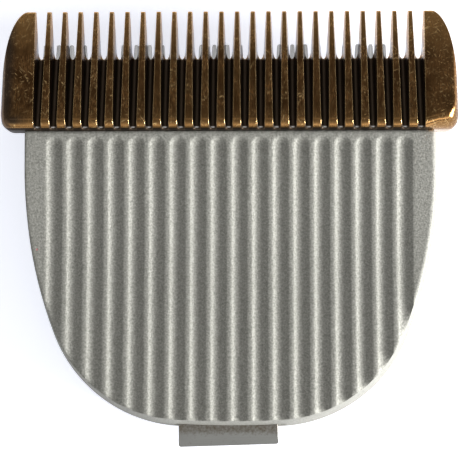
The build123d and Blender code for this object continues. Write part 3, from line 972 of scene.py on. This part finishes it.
def make_floor(settings):
    """The plain pale floor, which keeps a soft shade of the part and is clear from below."""
    mesh = bpy.data.meshes.new("floor")
    half = FLOOR_HALF
    level = CAD_BOX[0][2] - FLOOR_GAP
    sides = ((-half, -half), (half, -half), (half, half), (-half, half))
    mesh.from_pydata([(x, y, level) for x, y in sides], [], [(0, 1, 2, 3)])
    floor = bpy.data.objects.new("floor", mesh)
    bpy.context.scene.collection.objects.link(floor)
    material = bpy.data.materials.new("pale_floor")
    material.use_nodes = True
    tree = material.node_tree
    tree.nodes.clear()
    path = put(tree, "ShaderNodeLightPath")
    seen = larger(tree, path.outputs["Is Camera Ray"], path.outputs["Is Glossy Ray"])
    seen = larger(tree, seen, path.outputs["Is Transmission Ray"])
    card = put(tree, "ShaderNodeBsdfDiffuse", {"Color": settings.floor})
    glow = put(tree, "ShaderNodeEmission", {"Color": settings.floor_glow, "Strength": seen})
    shade = put(tree, "ShaderNodeAddShader", {0: card.outputs[0], 1: glow.outputs[0]})
    below = put(tree, "ShaderNodeNewGeometry").outputs["Backfacing"]
    clear = put(tree, "ShaderNodeBsdfTransparent")
    shaders = {0: below, 1: shade.outputs[0], 2: clear.outputs[0]}
    sided = put(tree, "ShaderNodeMixShader", shaders)
    put(tree, "ShaderNodeOutputMaterial", {"Surface": sided.outputs[0]})
    mesh.materials.append(material)


def sky_daylight(tree, parts, settings):
    """Level of the plain sky: dark above the tooth tips, dim straight above and low behind."""
    near = spread(tree, parts["Y"], *NEAR_FADE, settings.sky, settings.front_sky)
    raised = spread(tree, parts["Z"], *FAR_RISE, FAR_LOW, 1.0)
    far_level = times(tree, raised, settings.sky)
    far = spread(tree, parts["Y"], *FAR_FADE, settings.front_sky, far_level)
    side = spread(tree, parts["X"], *SIDE_FADE, settings.left_sky, settings.right_sky)
    height = spread(tree, parts["Z"], *TOP_FADE, 1.0, settings.top_sky)
    behind = spread(tree, parts["Y"], *REAR_FADE)
    dusk = times(tree, behind, spread(tree, parts["Z"], *REAR_RISE))
    height = times(tree, height, spread(tree, dusk, 0.0, 1.0, 1.0, settings.rear_sky))
    return times(tree, times(tree, larger(tree, near, far), side), height)


def sky_window(tree, parts, settings):
    """Mask of the window, a band part way up at the right."""
    bearing = maths(tree, "ARCTAN2", parts["Y"], parts["X"])
    rear = settings.window_end
    front = settings.window_start
    start = spread(tree, bearing, rear - WINDOW_EDGE, rear)
    stop = spread(tree, bearing, front + WINDOW_EDGE, front)
    foot = spread(tree, parts["Z"], *WINDOW_FOOT)
    head = spread(tree, parts["Z"], *WINDOW_HEAD)
    return times(tree, times(tree, start, stop), times(tree, foot, head))


def sky_panel(tree, parts):
    """Mask of the small panel overhead."""
    rear_edge = spread(tree, parts["Y"], *PANEL_REAR)
    front_edge = spread(tree, parts["Y"], *PANEL_FRONT)
    sides = spread(tree, maths(tree, "ABSOLUTE", parts["X"]), *PANEL_SIDES)
    overhead = maths(tree, "GREATER_THAN", parts["Z"], 0.0)
    return times(tree, times(tree, times(tree, rear_edge, front_edge), sides), overhead)


def make_sky(settings):
    """Grey light from all round, with a window at the right and a small panel overhead."""
    world = bpy.data.worlds.new("studio")
    world.use_nodes = True
    tree = world.node_tree
    tree.nodes.clear()
    parts = parts_of(tree, put(tree, "ShaderNodeTexCoord").outputs["Generated"])
    window = sky_window(tree, parts, settings)
    level = maths(tree, "MULTIPLY_ADD", window, settings.window_level)
    fill(tree, level.node.inputs[2], sky_daylight(tree, parts, settings))
    panel = times(tree, sky_panel(tree, parts), settings.panel_level)
    level = maths(tree, "ADD", level, panel)
    white = (1.0, 1.0, 1.0, 1.0)
    light = put(tree, "ShaderNodeBackground", {"Color": white, "Strength": level})
    put(tree, "ShaderNodeOutputWorld", {"Surface": light.outputs[0]})
    bpy.context.scene.world = world


def make_key(settings):
    """The large soft light, low at the right."""
    lamp = bpy.data.lights.new("key", "AREA")
    lamp.shape = "SQUARE"
    lamp.size = settings.key_size
    lamp.energy = settings.key_power
    key = bpy.data.objects.new("key", lamp)
    key.location = settings.key_place
    key.rotation_euler = key.location.to_track_quat("Z", "Y").to_euler()
    bpy.context.scene.collection.objects.link(key)


def make_camera(settings):
    """The camera, above the fluted face with the tooth tips at the top."""
    lens = bpy.data.cameras.new("camera")
    lens.lens = settings.lens
    lens.clip_start = 0.01
    camera = bpy.data.objects.new("camera", lens)
    camera.location = settings.camera_place
    camera.rotation_euler = settings.camera_turn
    bpy.context.scene.collection.objects.link(camera)
    bpy.context.scene.camera = camera


class CLIPPER_OT_make_studio(bpy.types.Operator):
    """Set up the pale floor, the light and the camera"""

    bl_idname = "clipper.make_studio"
    bl_label = "Studio"

    def execute(self, context):
        settings = context.scene.clipper_studio
        make_floor(settings)
        make_sky(settings)
        make_key(settings)
        make_camera(settings)
        context.scene.view_settings.view_transform = "Standard"
        return {"FINISHED"}


class CLIPPER_PT_blade(bpy.types.Panel):
    """Clipper blade pieces and their settings"""

    bl_idname = "CLIPPER_PT_blade"
    bl_label = "Clipper Blade"
    bl_space_type = "VIEW_3D"
    bl_region_type = "UI"
    bl_category = "Clipper Blade"

    def draw(self, context):
        for operator, group in STEPS:
            box = self.layout.box()
            box.operator(operator.bl_idname)
            settings = getattr(context.scene, group)
            for name in settings.__annotations__:
                box.prop(settings, name)


GROUPS = {
    "clipper_housing": CLIPPER_PG_housing,
    "clipper_comb": CLIPPER_PG_comb,
    "clipper_inside": CLIPPER_PG_inside,
    "clipper_screws": CLIPPER_PG_screws,
    "clipper_studio": CLIPPER_PG_studio,
}

STEPS = (
    (CLIPPER_OT_dress_housing, "clipper_housing"),
    (CLIPPER_OT_dress_comb, "clipper_comb"),
    (CLIPPER_OT_dress_cutter, "clipper_inside"),
    (CLIPPER_OT_dress_springs, "clipper_inside"),
    (CLIPPER_OT_make_screws, "clipper_screws"),
    (CLIPPER_OT_make_studio, "clipper_studio"),
)

CLASSES = (*GROUPS.values(), *(step[0] for step in STEPS), CLIPPER_PT_blade)


def register():
    """Registers the classes and the settings."""
    for cls in CLASSES:
        bpy.utils.register_class(cls)
    for name, cls in GROUPS.items():
        setattr(bpy.types.Scene, name, PointerProperty(type=cls))


def unregister():
    """Takes the settings and the classes away again."""
    for name in GROUPS:
        delattr(bpy.types.Scene, name)
    for cls in reversed(CLASSES):
        bpy.utils.unregister_class(cls)


def main():
    """Registers the classes, dresses the part and sets up the studio."""
    register()
    bpy.ops.clipper.dress_housing()
    bpy.ops.clipper.dress_comb()
    bpy.ops.clipper.dress_cutter()
    bpy.ops.clipper.dress_springs()
    bpy.ops.clipper.make_screws()
    bpy.ops.clipper.make_studio()


if __name__ == "__main__":
    main()
